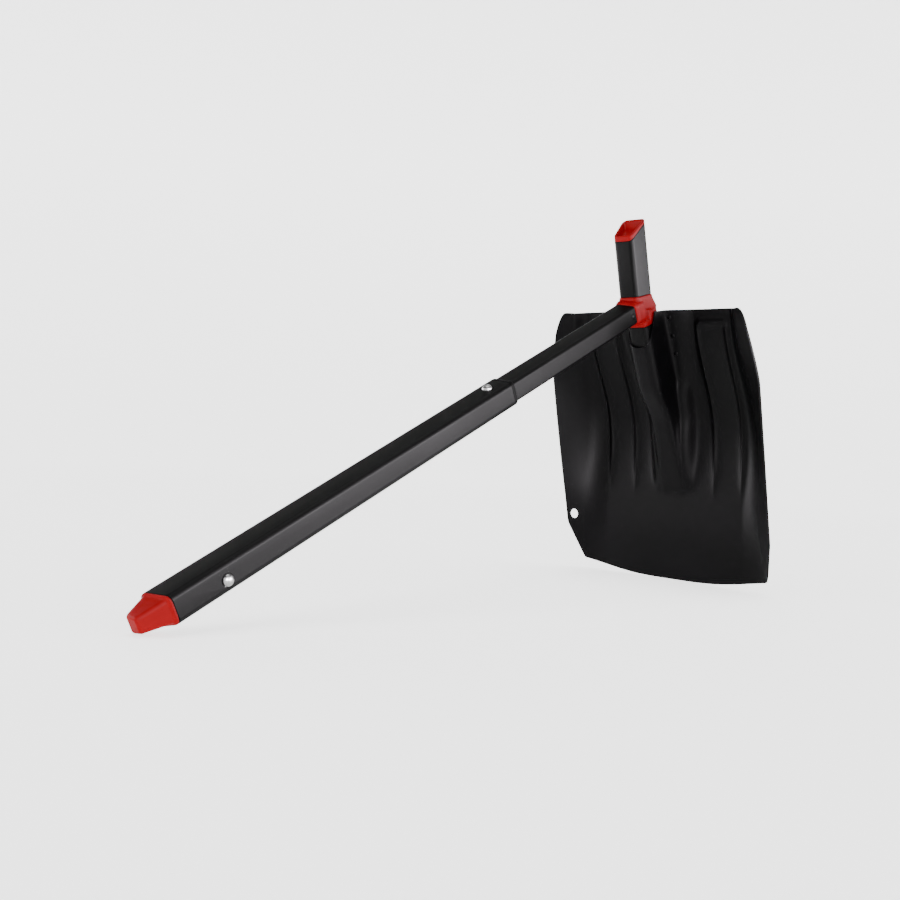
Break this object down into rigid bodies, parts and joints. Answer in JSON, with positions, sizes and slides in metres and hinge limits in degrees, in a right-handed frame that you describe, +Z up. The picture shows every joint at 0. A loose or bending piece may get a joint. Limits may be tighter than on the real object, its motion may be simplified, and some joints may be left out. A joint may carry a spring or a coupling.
{
  "type": "avalanche shovel",
  "caption": "Packable metal snow shovel set up as a hoe: scooped blade with ribs and a central bulge, T-shaped hub grip, and a telescoping tube shaft with snap buttons and a plugged end.",
  "frame": {"origin": "middle of the bounding box's bottom, on the floor under the set-down shovel", "axes": "+Z up; +Y from the shaft's free end towards the blade, along the floor; +X across the blade"},
  "size_m": [0.2552, 0.6776, 0.3759],
  "materials": {
    "blade_black": "satin black coating with a slight purple-grey sheen",
    "anodised_black": "satin black anodised",
    "red_plastic": "matte moulded red",
    "black_plastic": "matte moulded black",
    "button_steel": "bright stainless steel",
    "spring_steel": "plain spring steel"
  },
  "bodies": {
    "blade": {"blade": "blade_black", "socket_back": "blade_black", "socket_rivet_left_1": "blade_black", "socket_rivet_right_1": "blade_black", "socket_rivet_left_2": "blade_black", "socket_rivet_right_2": "blade_black", "socket_rivet_left_3": "blade_black", "socket_rivet_right_3": "blade_black"},
    "handle": {"grip_hub": "red_plastic", "upper_arm_tube": "anodised_black", "upper_arm_cap": "red_plastic", "lower_arm_tube": "anodised_black", "lower_arm_plug": "red_plastic", "hub_rivet_left": "anodised_black", "hub_rivet_right": "anodised_black", "inner_shaft_tube": "anodised_black", "guide_bushing": "black_plastic", "extension_spring": "spring_steel", "hoe_spring": "spring_steel"},
    "outer_shaft": {"outer_shaft_tube": "anodised_black", "shaft_collar": "black_plastic", "end_plug": "red_plastic", "shaft_spring": "spring_steel"},
    "extension_button": {"extension_button": "button_steel"},
    "shaft_button": {"shaft_button": "button_steel"},
    "hoe_button": {"hoe_button": "button_steel"}
  },
  "joints": [
    {"name": "hoe_socket", "type": "slide", "parent": "blade", "child": "handle", "axis": [0, -0.4389, 0.8985], "range_m": [0, 0.075], "deforming": ["hoe_button", "hoe_spring"]},
    {"name": "shaft_extension", "type": "slide", "parent": "handle", "child": "outer_shaft", "axis": [0, 0.8985, 0.4389], "range_m": [0, 0.195], "deforming": ["extension_button", "extension_spring"]},
    {"name": "extension_button_press", "type": "slide", "parent": "handle", "child": "extension_button", "axis": [-0.1175, 0.4358, -0.8923], "range_m": [0, 0.0054], "stiffness_N_per_m": 1500, "springref_m": -0.001, "deforming": ["extension_spring"]},
    {"name": "shaft_button_press", "type": "slide", "parent": "outer_shaft", "child": "shaft_button", "axis": [-1, 0, 0], "range_m": [0, 0.0036], "stiffness_N_per_m": 1500, "springref_m": -0.001, "deforming": ["shaft_spring"]},
    {"name": "hoe_button_press", "type": "slide", "parent": "handle", "child": "hoe_button", "axis": [0.9931, 0.1056, 0.0516], "range_m": [0, 0.0061], "stiffness_N_per_m": 1500, "springref_m": -0.001, "deforming": ["hoe_spring"]}
  ]
}
